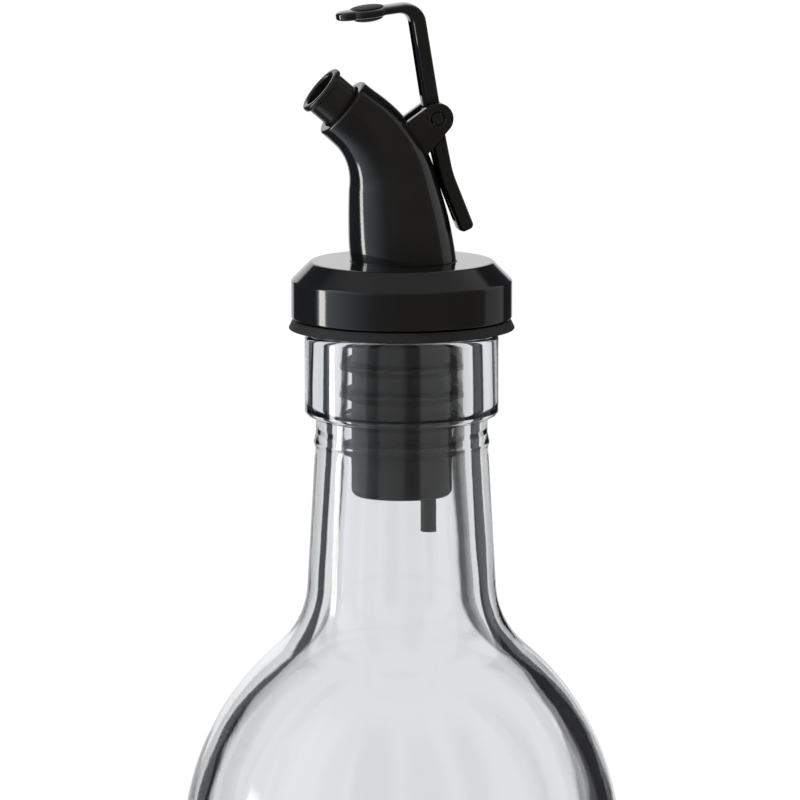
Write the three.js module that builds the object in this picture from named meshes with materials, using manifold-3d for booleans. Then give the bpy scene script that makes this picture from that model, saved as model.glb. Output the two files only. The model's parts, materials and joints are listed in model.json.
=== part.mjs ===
// Glass oil bottle with a lever pourer. Millimetres, +Z up, origin at the centre of the base.
// The bottle is a body of revolution about Z. The pourer is symmetric about the XZ plane and pours towards -X.

import * as THREE from "three";
import { mergeVertices } from "three/addons/utils/BufferGeometryUtils.js";
import Module from "manifold-3d";

const wasm = await Module();
wasm.setup();

// ---- Driving dimensions ----

// Bottle
const bottleHeight = 220;
const bodyRadius = 36.1;
const bodyWall = 3.6;
const shoulderRadius = 44.1; // arc from the body up to the neck
const shoulderDrop = 85.8; // from the lip down to where the body becomes straight
const neckTopRadius = 14.15;
const neckTaper = 0.0575; // growth of the neck radius per millimetre downwards
const neckTopDrop = 18;
const neckWall = 3.9;
const neckFilletRadius = 14.5;
const finishRadius = neckTopRadius + 1.75;
const finishHeight = 13.6;
const finishEdge = 1.0;
const heelRadius = 7;
const baseRingRadius = 27;
const baseRingWidth = 2.5;
const puntHeight = 3.5;
const baseThickness = 5;

// Stopper, a soft plug with fins and a flange
const flangeRadius = finishRadius + 2.65;
const flangeThickness = 2.0;
const flangeFlare = 0.75; // the flange is narrower at its top by this much all round
const plugRadius = 8.2;
const plugLength = 26.9;
const plugFloor = 2.0;
const finCount = 4;
const finPitch = 4.45;
const finThickness = 1.1;
const firstFinDrop = 5.65;
const finClearance = 0.2;
const spigotWall = 1.1; // of the spigot that grips inside the foot of the spout
const spigotHeight = 6.0; // above the flange
const oilHoleRadius = 3.0;
const oilHoleOffset = -2.2;

// Cap, the bevelled cover
const capRadius = finishRadius + 2.2;
const capHeight = 9.3;
const capBevel = 3.15;
const capWall = 1.6;
const capHubWall = 2.0;

// Spout, a curved horn with a flanged foot and two hinge ears
const hornFootRadius = 8.65;
const hornHeadRadius = 5.4;
const hornFootOffset = 0.3;
const footWall = 1.55; // of the foot, round the stopper's spigot
const hornLean = THREE.MathUtils.degToRad(8);
const hornRise = 13.0; // straight leaning part above the cap
const hornBendRadius = 16.5;
const hornReach = 3.65; // straight part up to the head face
const pourTilt = THREE.MathUtils.degToRad(50); // pouring axis, measured from vertical
const hornWall = 1.4;
const footFlangeRadius = 14.5;
const footFlangeThickness = 2.0;
const earThickness = 1.5;
const earGap = 3.5;
const earEndRadius = 2.6;
const earUpperAngle = THREE.MathUtils.degToRad(35);
const earLowerAngle = THREE.MathUtils.degToRad(48.3);
const earUpperLength = 10;
const earLowerLength = 9;

// Nozzle, pressed into the head of the horn
const nozzleRadius = 3.8;
const nozzleBore = 3.1;
const nozzleLipRadius = 4.25;
const nozzleLipLength = 1.0;
const nozzleProud = 4.8;
const nozzleInset = 6.0;

// Vent tube
const ventRadius = 1.3;
const ventBore = 0.8;
const ventDrop = 33.1; // end of the tube below the lip
const ventNozzleOffset = 1.45; // behind the axis of the nozzle
const ventEndInset = 2.2; // inside the mouth of the nozzle

// Lever, seal and pin
const pivotX = 5.4;
const pivotRise = 23.5; // above the top of the cap
const pinRadius = 1.0;
const pinPlay = 0.05;
const leverWidth = 5.0;
const hubWidth = 3.0;
const hubRadius = 2.4;
const earSwingClearance = 1.1; // from the round end of the ears to the wide parts of the lever
const earMargin = 0.3; // from the straight edges of the ears to the wide parts of the lever
const padRadius = 3.5;
const sealRadius = 2.75;
const sealSeat = 1.9; // radius of the hole in the pad
const sealDomeTop = 0.45;
const sealDomeMouth = 0.65;
const sealSink = 0.25;

// Gaps between pieces that touch
const faceGap = 0.2;
const fitGap = 0.1;

// Facets
const latheSides = 36;
const smallSides = 24;

// ---- Derived levels ----

const flangeTop = bottleHeight + faceGap + flangeThickness;
const capBottom = flangeTop + faceGap;
const capTop = capBottom + capHeight;
const pivot = new THREE.Vector2(pivotX, capTop + pivotRise);
const boreRadius = neckTopRadius - neckWall;

// ---- Derived fits: the spigot fills the foot of the spout, and the vent tube lies against the channel's wall ----

const spigotRadius = hornFootRadius - footWall - fitGap;
const plugBore = spigotRadius - spigotWall; // radius of the channel through the plug
const ventOffset = plugBore - ventRadius - fitGap; // behind the axis of the bottle

// ---- Geometry helpers ----

const toSolid = (geometry) => {
  const bare = geometry.clone();
  bare.deleteAttribute("normal");
  bare.deleteAttribute("uv");
  const merged = mergeVertices(bare, 1e-4);
  const mesh = new wasm.Mesh({
    numProp: 3,
    vertProperties: merged.attributes.position.array,
    triVerts: new Uint32Array(merged.index.array),
  });
  mesh.merge();
  return new wasm.Manifold(mesh);
};

const toGeometry = (solid) => {
  const { vertProperties, triVerts } = solid.getMesh();
  const geometry = new THREE.BufferGeometry();
  geometry.setAttribute("position", new THREE.BufferAttribute(vertProperties, 3));
  geometry.setIndex(new THREE.BufferAttribute(triVerts, 1));
  geometry.computeVertexNormals();
  return geometry;
};

const arcPoints = (x, y, radius, from, to, steps) =>
  Array.from({ length: steps + 1 }, (_, i) => {
    const angle = THREE.MathUtils.lerp(from, to, i / steps);
    return new THREE.Vector2(x + radius * Math.cos(angle), y + radius * Math.sin(angle));
  });

const vec = (x, y) => new THREE.Vector2(x, y);

// Turns a profile of (radius, height) points about the Z axis.
const turned = (points, sides = latheSides) => {
  const geometry = new THREE.LatheGeometry(points, sides);
  geometry.rotateX(Math.PI / 2);
  return geometry;
};

// A ring or shell whose profile closes on itself.
const turnedRing = (points, sides = latheSides) => turned([...points, points[0].clone()], sides);

// A bar of the given width, centred on the XZ plane, from an outline drawn in X and Z.
const plate = (shape, width, curveSegments = 10) => {
  const geometry = new THREE.ExtrudeGeometry(shape, { depth: width, bevelEnabled: false, curveSegments });
  geometry.translate(0, 0, -width / 2);
  geometry.rotateX(Math.PI / 2);
  return geometry;
};

const cylinderAlongY = (x, z, radius, length, sides = smallSides) => {
  const geometry = new THREE.CylinderGeometry(radius, radius, length, sides);
  geometry.translate(x, 0, z);
  return geometry;
};

const cylinderAlongZ = (x, bottom, radius, length, sides = smallSides) => {
  const geometry = new THREE.CylinderGeometry(radius, radius, length, sides);
  geometry.rotateX(Math.PI / 2);
  geometry.translate(x, 0, bottom + length / 2);
  return geometry;
};

// An outline from corners [x, y, radius], each corner rounded by an arc of that radius.
const roundedShape = (corners) => {
  const shape = new THREE.Shape();
  corners.forEach(([x, y, radius], i) => {
    const corner = vec(x, y);
    const [px, py] = corners.at(i - 1);
    const [nx, ny] = corners[(i + 1) % corners.length];
    const back = vec(px, py).sub(corner).normalize();
    const ahead = vec(nx, ny).sub(corner).normalize();
    const half = Math.acos(THREE.MathUtils.clamp(back.dot(ahead), -1, 1)) / 2;
    const cut = radius / Math.tan(half);
    const start = corner.clone().addScaledVector(back, cut);
    const end = corner.clone().addScaledVector(ahead, cut);
    if (i === 0) shape.moveTo(start.x, start.y);
    else shape.lineTo(start.x, start.y);
    shape.quadraticCurveTo(corner.x, corner.y, end.x, end.y);
  });
  shape.closePath();
  return shape;
};

// ---- Bottle ----

// Points of the wall from the straight body up to the top of the neck, for a shoulder arc and a neck cone.
const wallOutline = (bodyR, shoulderR, neckR, filletR) => {
  const centre = vec(bodyR - shoulderR, bottleHeight - shoulderDrop);
  const along = vec(neckTaper, -1);
  const outward = vec(1, neckTaper).normalize();
  const coneTop = vec(neckR, bottleHeight - neckTopDrop);
  const from = coneTop.clone().addScaledVector(outward, filletR).sub(centre);
  const a = along.lengthSq();
  const b = from.dot(along);
  const c = from.lengthSq() - (shoulderR + filletR) ** 2;
  const down = (-b - Math.sqrt(b * b - a * c)) / a;
  const filletCentre = from.clone().addScaledVector(along, down).add(centre);
  const join = filletCentre.clone().sub(centre).angle();
  const coneAngle = outward.angle();
  return [
    ...arcPoints(centre.x, centre.y, shoulderR, 0, join, 9),
    ...arcPoints(filletCentre.x, filletCentre.y, filletR, join - Math.PI, coneAngle - Math.PI, 6).slice(1),
    coneTop,
  ];
};

const bottleProfile = () => {
  const lip = bottleHeight;
  const ringBottom = lip - finishHeight;
  const heelX = bodyRadius - heelRadius;
  const innerRadius = bodyRadius - bodyWall;
  const innerHeel = heelRadius - bodyWall / 2;
  const innerFloor = puntHeight + baseThickness;
  const outer = [
    vec(0, puntHeight),
    vec(baseRingRadius * 0.6, puntHeight * 0.75),
    vec(baseRingRadius - baseRingWidth, 0),
    vec(heelX, 0),
    ...arcPoints(heelX, heelRadius, heelRadius, -Math.PI / 2, 0, 5).slice(1),
    ...wallOutline(bodyRadius, shoulderRadius, neckTopRadius, neckFilletRadius),
    vec(neckTopRadius, ringBottom - finishEdge),
    ...arcPoints(finishRadius - finishEdge, ringBottom + finishEdge, finishEdge, -Math.PI / 2, 0, 3),
    ...arcPoints(finishRadius - finishEdge, lip - finishEdge, finishEdge, 0, Math.PI / 2, 3),
  ];
  const inner = [
    vec(boreRadius + finishEdge, lip),
    vec(boreRadius, lip - finishEdge),
    ...wallOutline(
      innerRadius,
      shoulderRadius - bodyWall,
      boreRadius,
      neckFilletRadius + bodyWall,
    ).reverse(),
    ...arcPoints(innerRadius - innerHeel, innerFloor + innerHeel, innerHeel, 0, -Math.PI / 2, 4),
    vec(0, innerFloor + puntHeight / 2),
  ];
  return [...outer, ...inner];
};

// ---- Stopper ----

const stopperSolid = () => {
  const lip = bottleHeight;
  const under = lip + faceGap;
  const finTip = boreRadius - finClearance;
  const fins = Array.from({ length: finCount }, (_, i) => {
    const level = lip - firstFinDrop - i * finPitch;
    return [
      vec(plugRadius, level + finThickness),
      vec(finTip, level + finThickness),
      vec(finTip, level + finThickness / 3),
      vec(plugRadius, level - finThickness / 2),
    ];
  });
  const bottom = lip - plugLength;
  const chamfer = 1.2;
  const profile = [
    vec(plugBore, bottom),
    vec(plugRadius - chamfer, bottom),
    vec(plugRadius, bottom + chamfer),
    ...fins.reverse().flatMap((fin) => fin.reverse()),
    vec(plugRadius, under),
    vec(finishRadius + 0.3, under),
    vec(flangeRadius - 0.3, under + 0.35),
    vec(flangeRadius, under + 0.65),
    vec(flangeRadius - flangeFlare, flangeTop),
    vec(spigotRadius, flangeTop),
    vec(spigotRadius, flangeTop + spigotHeight - 0.5),
    vec(spigotRadius - 0.5, flangeTop + spigotHeight),
    vec(plugBore, flangeTop + spigotHeight),
  ];
  const floor = toSolid(cylinderAlongZ(0, bottom, plugBore + 0.5, plugFloor))
    .subtract(toSolid(cylinderAlongZ(oilHoleOffset, bottom - 1, oilHoleRadius, plugFloor + 2)))
    .subtract(toSolid(cylinderAlongZ(ventOffset, bottom - 1, ventRadius + fitGap, plugFloor + 2)));
  const relief = toSolid(cylinderAlongZ(ventOffset, bottom - 1, ventRadius + fitGap, plugLength + 20));
  return toSolid(turnedRing(profile)).add(floor).subtract(relief);
};

// ---- Cap ----

const capSolid = () => {
  const holeRadius = hornFootRadius + fitGap;
  const hubRadiusOut = holeRadius + capHubWall;
  const inside = capTop - capWall;
  const hubBottom = capBottom + footFlangeThickness + faceGap;
  const innerBevel = capBevel - capWall * Math.tan(Math.PI / 8);
  const shell = toSolid(turned([
    vec(0, hubBottom),
    vec(hubRadiusOut, hubBottom),
    vec(hubRadiusOut, inside),
    vec(capRadius - capWall - innerBevel, inside),
    vec(capRadius - capWall, inside - innerBevel),
    vec(capRadius - capWall, capBottom),
    vec(capRadius, capBottom),
    vec(capRadius, capTop - capBevel),
    vec(capRadius - capBevel, capTop),
    vec(0, capTop),
  ]));
  return shell.subtract(toSolid(cylinderAlongZ(hornFootOffset, capBottom, holeRadius, capHeight + 5, latheSides)));
};

// ---- Spout ----

const hornArc = hornBendRadius * (pourTilt - hornLean);
const hornLength = hornRise + hornArc + hornReach;

// Centre, tilt from vertical and outer radius of the horn at a length along it from the top of the cap.
const hornStation = (length) => {
  const side = (angle) => vec(Math.cos(angle), Math.sin(angle));
  const onward = (angle) => vec(-Math.sin(angle), Math.cos(angle));
  const start = vec(hornFootOffset, capTop);
  const bendStart = start.clone().addScaledVector(onward(hornLean), hornRise);
  const bendCentre = bendStart.clone().addScaledVector(side(hornLean), -hornBendRadius);
  const ease = 6; // the foot is level and takes up the lean over this length
  const share = THREE.MathUtils.clamp(length / hornLength, 0, 1);
  const radius = THREE.MathUtils.lerp(hornFootRadius, hornHeadRadius, THREE.MathUtils.smoothstep(share, 0, 1));
  if (length <= hornRise) {
    const centre = start.addScaledVector(onward(hornLean), length);
    return { centre, tilt: hornLean * THREE.MathUtils.clamp(length / ease, 0, 1), radius };
  }
  if (length <= hornRise + hornArc) {
    const tilt = hornLean + (length - hornRise) / hornBendRadius;
    return { centre: bendCentre.addScaledVector(side(tilt), hornBendRadius), tilt, radius };
  }
  const centre = bendCentre.addScaledVector(side(pourTilt), hornBendRadius);
  return { centre: centre.addScaledVector(onward(pourTilt), length - hornRise - hornArc), tilt: pourTilt, radius };
};

// A point beside the horn's centre line, towards the back for a positive offset.
const besideHorn = (length, offset) => {
  const { centre, tilt } = hornStation(length);
  return vec(centre.x + offset * Math.cos(tilt), centre.y + offset * Math.sin(tilt));
};

// A closed form around the horn's centre line: a turned profile of (radius, length) points, bent along the line.
const bentAlongHorn = (points, sides) => {
  const geometry = turned(points, sides);
  const position = geometry.attributes.position;
  for (let i = 0; i < position.count; i += 1) {
    const across = position.getX(i);
    const { centre, tilt } = hornStation(position.getZ(i));
    const x = centre.x + across * Math.cos(tilt);
    const z = centre.y + across * Math.sin(tilt);
    position.setXYZ(i, x, position.getY(i), z);
  }
  return geometry;
};

const hornForm = (from, to, thinner) => {
  const steps = 16;
  const stations = Array.from({ length: steps + 1 }, (_, i) => THREE.MathUtils.lerp(from, to, i / steps));
  const wall = stations.map((length) => vec(hornStation(length).radius - thinner, length));
  return bentAlongHorn([vec(0, from), ...wall, vec(0, to)], smallSides);
};

// Side outline of an ear, grown by a margin on its free edges.
const earShape = (margin = 0) => {
  const radius = earEndRadius + margin;
  const upperNormal = earUpperAngle + Math.PI / 2;
  const lowerNormal = earLowerAngle - Math.PI / 2;
  const end = (angle) => vec(
    pivot.x + radius * Math.cos(angle),
    pivot.y + radius * Math.sin(angle),
  );
  const back = (angle, length) => vec(-length * Math.cos(angle), -length * Math.sin(angle));
  const upperRoot = end(upperNormal).add(back(earUpperAngle, earUpperLength));
  const lowerRoot = end(lowerNormal).add(back(earLowerAngle, earLowerLength));
  const shape = new THREE.Shape();
  shape.moveTo(upperRoot.x, upperRoot.y);
  shape.lineTo(end(upperNormal).x, end(upperNormal).y);
  shape.absarc(pivot.x, pivot.y, radius, upperNormal, lowerNormal, true);
  shape.lineTo(lowerRoot.x, lowerRoot.y);
  shape.closePath();
  return shape;
};

const spoutSolid = () => {
  const flangeBottom = capBottom;
  const bevel = 0.4;
  const foot = toSolid(turned([
    vec(0, flangeBottom),
    vec(footFlangeRadius, flangeBottom),
    vec(footFlangeRadius, flangeBottom + footFlangeThickness),
    vec(hornFootRadius, flangeBottom + footFlangeThickness),
    vec(hornFootRadius, capTop),
    vec(0, capTop),
  ])).translate([hornFootOffset, 0, 0]);
  const horn = toSolid(hornForm(0, hornLength - bevel, 0));
  const rim = toSolid(bentAlongHorn([
    vec(0, hornLength - bevel - 0.5),
    vec(hornHeadRadius, hornLength - bevel - 0.5),
    vec(hornHeadRadius, hornLength - bevel),
    vec(hornHeadRadius - bevel, hornLength),
    vec(0, hornLength),
  ], smallSides));
  const ears = [-1, 1].map((side) => {
    const ear = toSolid(plate(earShape(), earThickness, 12));
    return ear.translate([0, side * (earGap + earThickness) / 2, 0]);
  });
  const channel = toSolid(hornForm(0, hornLength + 1, hornWall));
  const footBore = toSolid(cylinderAlongZ(0, flangeBottom - 1, spigotRadius + fitGap, capTop - flangeBottom + 2));
  const pinHole = toSolid(cylinderAlongY(pivot.x, pivot.y, pinRadius + pinPlay, 20));
  let solid = foot.add(horn).add(rim);
  ears.forEach((ear) => {
    solid = solid.add(ear);
  });
  return solid.subtract(channel).subtract(footBore).subtract(pinHole);
};

// ---- Nozzle ----

const nozzleGeometry = () => {
  const end = hornLength + nozzleProud;
  const edge = 0.3;
  return bentAlongHorn([
    vec(nozzleBore, hornLength - nozzleInset),
    vec(nozzleRadius, hornLength - nozzleInset),
    vec(nozzleRadius, end - nozzleLipLength),
    vec(nozzleLipRadius, end - nozzleLipLength + edge),
    vec(nozzleLipRadius, end - edge),
    vec(nozzleLipRadius - edge, end),
    vec(nozzleBore + edge, end),
    vec(nozzleBore, end - edge),
    vec(nozzleBore, hornLength - nozzleInset),
  ], smallSides);
};

// ---- Vent tube ----

const ventGeometry = () => {
  const end = hornLength + nozzleProud - ventEndInset;
  const inside = Array.from({ length: 12 }, (_, i) => {
    const length = THREE.MathUtils.lerp(3, end, i / 11);
    const share = THREE.MathUtils.smoothstep(length, 0, hornLength - nozzleInset);
    const offset = THREE.MathUtils.lerp(ventOffset - hornFootOffset, ventNozzleOffset, share);
    const point = besideHorn(length, offset);
    return new THREE.Vector3(point.x, 0, point.y);
  });
  const below = [bottleHeight - ventDrop, bottleHeight - ventDrop / 2, bottleHeight, capTop - 1];
  const path = new THREE.CatmullRomCurve3([
    ...below.map((z) => new THREE.Vector3(ventOffset, 0, z)),
    ...inside,
  ]);
  const section = new THREE.Shape();
  section.absarc(0, 0, ventRadius, 0, 2 * Math.PI);
  const hole = new THREE.Path();
  hole.absarc(0, 0, ventBore, 0, 2 * Math.PI, true);
  section.holes.push(hole);
  return new THREE.ExtrudeGeometry(section, { steps: 22, extrudePath: path, curveSegments: 4 });
};

// ---- Lever, seal and pin ----

// The two edges of the lid arm, from the pivot: both fall towards the tip at the same slope.
const armSlope = 0.12;
const armTilt = Math.atan(armSlope);
const armUpper = (x) => 19.25 + (x + 2.15) * armSlope;
const armLower = (x) => 17.4 + (x + 4.4) * armSlope;

// Corners of the lever's side outline, from the pivot, with the rounding of each corner.
const leverCorners = [
  [1.0, 0.3, 6], // back of the hub, where the upright meets the tail
  [-2.15, armUpper(-2.15), 3.4], // top of the bend
  [-13.9, armUpper(-13.9), 0], // lid arm, upper edge, where its round tip starts
  [-13.7, armLower(-13.7), 0], // lid arm, lower edge
  [-4.4, armLower(-4.4), 2.0], // inside of the bend
  [-1.5, -1.0, 6], // front of the hub
  [0.5, -9.9, 8], // inside of the tail
  [4.15, -19.2, 0.9], // tip of the tail, inner edge
  [6.55, -18.1, 0.9], // tip of the tail, outer edge
  [2.9, -9.0, 8], // outside of the tail
];
const armThickness = 1.72;
const sealPlace = vec(-11.1, 17.32); // middle of the seal on the arm, from the pivot
const tipPlace = vec(-13.85, 16.99); // middle of the round tip of the arm
const tipInset = 0.1; // the round tip is narrower than the lever by this much all round
const tipStep = 0.06; // and each of its faces lies this much below the pad's

const atPivot = (corners) => corners.map(([x, z, radius]) => [x + pivot.x, z + pivot.y, radius]);

// A form turned about an axis square to the arm: +height points towards the back of the arm.
const turnedOnArm = (place, points, sides = smallSides) => {
  const geometry = turned(points, sides);
  geometry.rotateY(-armTilt);
  geometry.translate(pivot.x + place.x, 0, pivot.y + place.y);
  return geometry;
};

// A disc across the arm, with the two edges bevelled.
const armDisc = (place, radius, half, bevel) =>
  toSolid(turnedOnArm(place, [
    vec(0, -half),
    vec(radius - bevel, -half),
    vec(radius, bevel - half),
    vec(radius, half - bevel),
    vec(radius - bevel, half),
    vec(0, half),
  ]));

const leverSolid = () => {
  const bar = toSolid(plate(roundedShape(atPivot(leverCorners)), leverWidth));
  const hub = toSolid(cylinderAlongY(pivot.x, pivot.y, hubRadius, hubWidth));
  const pad = armDisc(sealPlace, padRadius, armThickness / 2, 0.4);
  const tip = armDisc(tipPlace, leverWidth / 2 - tipInset, armThickness / 2 - tipStep, 0.35);
  const slotRadius = earEndRadius + earSwingClearance;
  const slot = toSolid(cylinderAlongY(pivot.x, pivot.y, slotRadius, leverWidth))
    .add(toSolid(plate(earShape(earMargin), leverWidth)));
  const slots = [-1, 1].map((side) => slot.translate([0, side * (hubWidth + leverWidth) / 2, 0]));
  const seat = armDisc(sealPlace, sealSeat, armThickness, 0.2);
  const pinHole = toSolid(cylinderAlongY(pivot.x, pivot.y, pinRadius + pinPlay, 20));
  let solid = bar.add(pad).add(tip);
  slots.forEach((slot) => {
    solid = solid.subtract(slot);
  });
  return solid.add(hub).subtract(pinHole).subtract(seat);
};

// A rubber button through the pad: a flat head on the back and a domed plug on the mouth side.
const sealProfile = () => {
  const half = armThickness / 2 + sealSink / 2;
  const stem = sealSeat - fitGap;
  const head = sealRadius - 0.6;
  return [
    vec(0, -half - sealDomeMouth),
    vec(head * 0.6, -half - sealDomeMouth * 0.85),
    vec(head, -half - sealDomeMouth * 0.35),
    vec(head, -half),
    vec(stem, -half),
    vec(stem, half),
    vec(sealRadius, half),
    vec(sealRadius, half + sealDomeTop * 0.35),
    vec(sealRadius * 0.6, half + sealDomeTop * 0.85),
    vec(0, half + sealDomeTop),
  ];
};

// ---- Scene ----

const finishes = {
  glass: new THREE.MeshStandardMaterial({ color: 0xd9dde0, roughness: 0.02, metalness: 0 }),
  rubber: new THREE.MeshStandardMaterial({ color: 0x2a2927, roughness: 0.6, metalness: 0 }),
  gloss: new THREE.MeshStandardMaterial({ color: 0x151413, roughness: 0.15, metalness: 0 }),
  nozzle: new THREE.MeshStandardMaterial({ color: 0x1b1a18, roughness: 0.25, metalness: 0 }),
  vent: new THREE.MeshStandardMaterial({ color: 0x2c2b2a, roughness: 0.45, metalness: 0 }),
};

const bottleAssembly = new THREE.Group();

const place = (name, geometry, material) => {
  const mesh = new THREE.Mesh(geometry, material);
  mesh.name = name;
  bottleAssembly.add(mesh);
};

const earSpan = earGap + 2 * earThickness;

place("bottle", turned(bottleProfile()), finishes.glass);
place("stopper", toGeometry(stopperSolid()), finishes.rubber);
place("cap", toGeometry(capSolid()), finishes.gloss);
place("spout_body", toGeometry(spoutSolid()), finishes.gloss);
place("pour_nozzle", nozzleGeometry(), finishes.nozzle);
place("vent_tube", ventGeometry(), finishes.vent);
place("lever", toGeometry(leverSolid()), finishes.gloss);
place("lid_seal", turnedOnArm(sealPlace, sealProfile()), finishes.rubber);
place("hinge_pin", cylinderAlongY(pivot.x, pivot.y, pinRadius, earSpan), finishes.gloss);

export default bottleAssembly;
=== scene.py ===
"""Glass oil bottle with a lever pourer: its looks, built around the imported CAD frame.

Shapes are drawn in millimetres in the row frame (+Z up, the spout pours to -X) and scaled to metres
when a mesh is made. The camera, the floor and the studio light come last, after the pieces.
"""

import json
import math

import bmesh
import bpy
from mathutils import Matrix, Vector, noise


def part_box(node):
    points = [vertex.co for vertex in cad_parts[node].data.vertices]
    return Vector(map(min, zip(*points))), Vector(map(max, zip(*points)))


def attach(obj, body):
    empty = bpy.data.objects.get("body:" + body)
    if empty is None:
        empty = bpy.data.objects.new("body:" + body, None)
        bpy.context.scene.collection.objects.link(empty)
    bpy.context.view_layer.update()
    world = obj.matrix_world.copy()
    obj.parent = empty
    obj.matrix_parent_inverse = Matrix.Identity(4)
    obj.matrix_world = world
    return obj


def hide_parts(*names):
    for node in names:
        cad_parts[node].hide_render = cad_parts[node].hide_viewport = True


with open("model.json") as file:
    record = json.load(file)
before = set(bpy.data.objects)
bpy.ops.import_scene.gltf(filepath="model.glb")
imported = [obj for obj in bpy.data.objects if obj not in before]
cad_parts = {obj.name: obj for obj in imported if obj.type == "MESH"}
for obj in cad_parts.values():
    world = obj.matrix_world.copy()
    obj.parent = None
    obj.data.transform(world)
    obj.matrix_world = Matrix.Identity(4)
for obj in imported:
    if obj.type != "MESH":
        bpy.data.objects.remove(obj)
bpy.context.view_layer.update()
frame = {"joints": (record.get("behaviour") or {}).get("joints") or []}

MM = 0.001


def node_box(node):
    """Lowest and highest corner of a CAD node, in millimetres."""
    low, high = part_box(node)
    return low / MM, high / MM


# ---- Sizes, in millimetres ----

bottle_high = node_box("bottle")[1]
BOTTLE_HEIGHT = bottle_high.z
BODY_RADIUS = bottle_high.x
BODY_WALL = 3.6
SHOULDER_RADIUS = 44.1
SHOULDER_DROP = 85.8
NECK_TOP_RADIUS = 14.15
NECK_TAPER = 0.0575
NECK_TOP_DROP = 19.2
NECK_WALL = 3.9
NECK_FILLET_RADIUS = 14.5
BEAD_HEIGHT = 0.3
FINISH_RADIUS = 15.9
FINISH_HEIGHT = 13.6
HEEL_RADIUS = 7
BASE_RING_RADIUS = 27
BASE_RING_WIDTH = 2.5
PUNT_HEIGHT = 3.5
BASE_THICKNESS = 5
KNURLS = 90
KNURL_DEPTH = 0.25

stopper_low, stopper_high = node_box("stopper")
FLANGE_RADIUS = stopper_high.x
PLUG_RADIUS = 8.2
PLUG_BORE = 5.9
PLUG_FLOOR = 2.0
PLUG_BOTTOM = stopper_low.z
SPIGOT_RADIUS = 7.0
FIN_COUNT = 4
FIN_PITCH = 4.45
FIRST_FIN_DROP = 5.65
FIN_ROOT = 1.5
FIN_TIP = 0.5
FIN_PRESS = 0.012  # fin tips past the nominal bore; the bore drawn here is wider, so they stop short of it
FLANGE_FLARE = 0.75
OIL_HOLE_RADIUS = 3.0
OIL_HOLE_OFFSET = -2.2

cap_low, cap_high = node_box("cap")
CAP_TOP = cap_high.z
CAP_BOTTOM = cap_low.z
CAP_RADIUS = cap_high.x
CAP_BEVEL = 3.15
CAP_WALL = 1.6
CAP_HUB_WALL = 2.0
FLANGE_TOP = CAP_BOTTOM - 0.2
FLANGE_UNDER = BOTTLE_HEIGHT + 0.2

HORN_FOOT_RADIUS = 8.65
HORN_HEAD_RADIUS = 5.4
HORN_FOOT_OFFSET = 0.3
HORN_LEAN = math.radians(8)
HORN_RISE = 13.0
HORN_BEND_RADIUS = 16.5
HORN_REACH = 3.65
POUR_TILT = math.radians(50)
HORN_WALL = 1.4
FOOT_FLANGE_RADIUS = 14.5
FOOT_FLANGE_THICKNESS = 2.0
HORN_ARC = HORN_BEND_RADIUS * (POUR_TILT - HORN_LEAN)
HORN_LENGTH = HORN_RISE + HORN_ARC + HORN_REACH

EAR_THICKNESS = 1.5
EAR_GAP = 3.5
EAR_END_RADIUS = 2.6
EAR_UPPER_ANGLE = math.radians(35)
EAR_LOWER_ANGLE = math.radians(48.3)
EAR_EDGE = 0.22

NOZZLE_RADIUS = 3.8
NOZZLE_BORE = 3.1
NOZZLE_LIP_RADIUS = 4.25
NOZZLE_LIP_LENGTH = 1.0
NOZZLE_PROUD = 4.8
NOZZLE_INSET = 6.0

VENT_RADIUS = 1.3
VENT_BORE = 0.8
VENT_OFFSET = 4.5
VENT_BOTTOM = node_box("vent_tube")[0].z
VENT_NOZZLE_OFFSET = 1.45
VENT_END_INSET = 2.2

lever_joint = next(j for j in frame["joints"] if j["name"] == "lever_hinge")
PIVOT_X = lever_joint["pos_m"][0] / MM
PIVOT_Z = lever_joint["pos_m"][2] / MM
PIN_RADIUS = 1.0
PIN_HOLE = 1.05
LEVER_WIDTH = 5.0
LEVER_EDGE = 0.62
CROWN_POWER = 2.6
HUB_WIDTH = 3.0
HUB_RADIUS = 2.4
SLOT_RADIUS = 3.7
EAR_MARGIN = 0.3
ARM_THICKNESS = 1.72
PAD_RADIUS = 3.5
SEAL_RADIUS = 2.75
SEAL_SEAT = 1.9
SEAL_PLACE = (-11.1, 17.32)
TIP_PLACE = (-13.85, 16.99)
SEAL_DOME_TOP = 0.45
SEAL_DOME_MOUTH = 0.65
CHANNEL_WIDTH = 2.4
CHANNEL_DEPTH = 0.9

# The two edges of the lid arm fall towards its tip at the same slope.
ARM_SLOPE = 0.12
ARM_TILT = math.atan(ARM_SLOPE)


def arm_upper(x):
    return 19.25 + (x + 2.15) * ARM_SLOPE


def arm_lower(x):
    return 17.4 + (x + 4.4) * ARM_SLOPE


# Corners of the lever's side outline (x, z, rounding), from the pivot.
LEVER_CORNERS = [
    (1.0, 0.3, 6),
    (-2.15, arm_upper(-2.15), 3.4),
    (-13.9, arm_upper(-13.9), 0),
    (-13.7, arm_lower(-13.7), 0),
    (-4.4, arm_lower(-4.4), 2.0),
    (-1.5, -1.0, 6),
    (0.5, -9.9, 16),
    (4.15, -19.2, 0.95),
    (6.55, -18.1, 0.95),
    (2.9, -9.0, 16),
]

FINE = 192
MEDIUM = 96


# ---- Drawing helpers ----


def arc(x, y, radius, start, end, steps):
    angles = [start + (end - start) * i / steps for i in range(steps + 1)]
    return [(x + radius * math.cos(a), y + radius * math.sin(a)) for a in angles]


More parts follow.
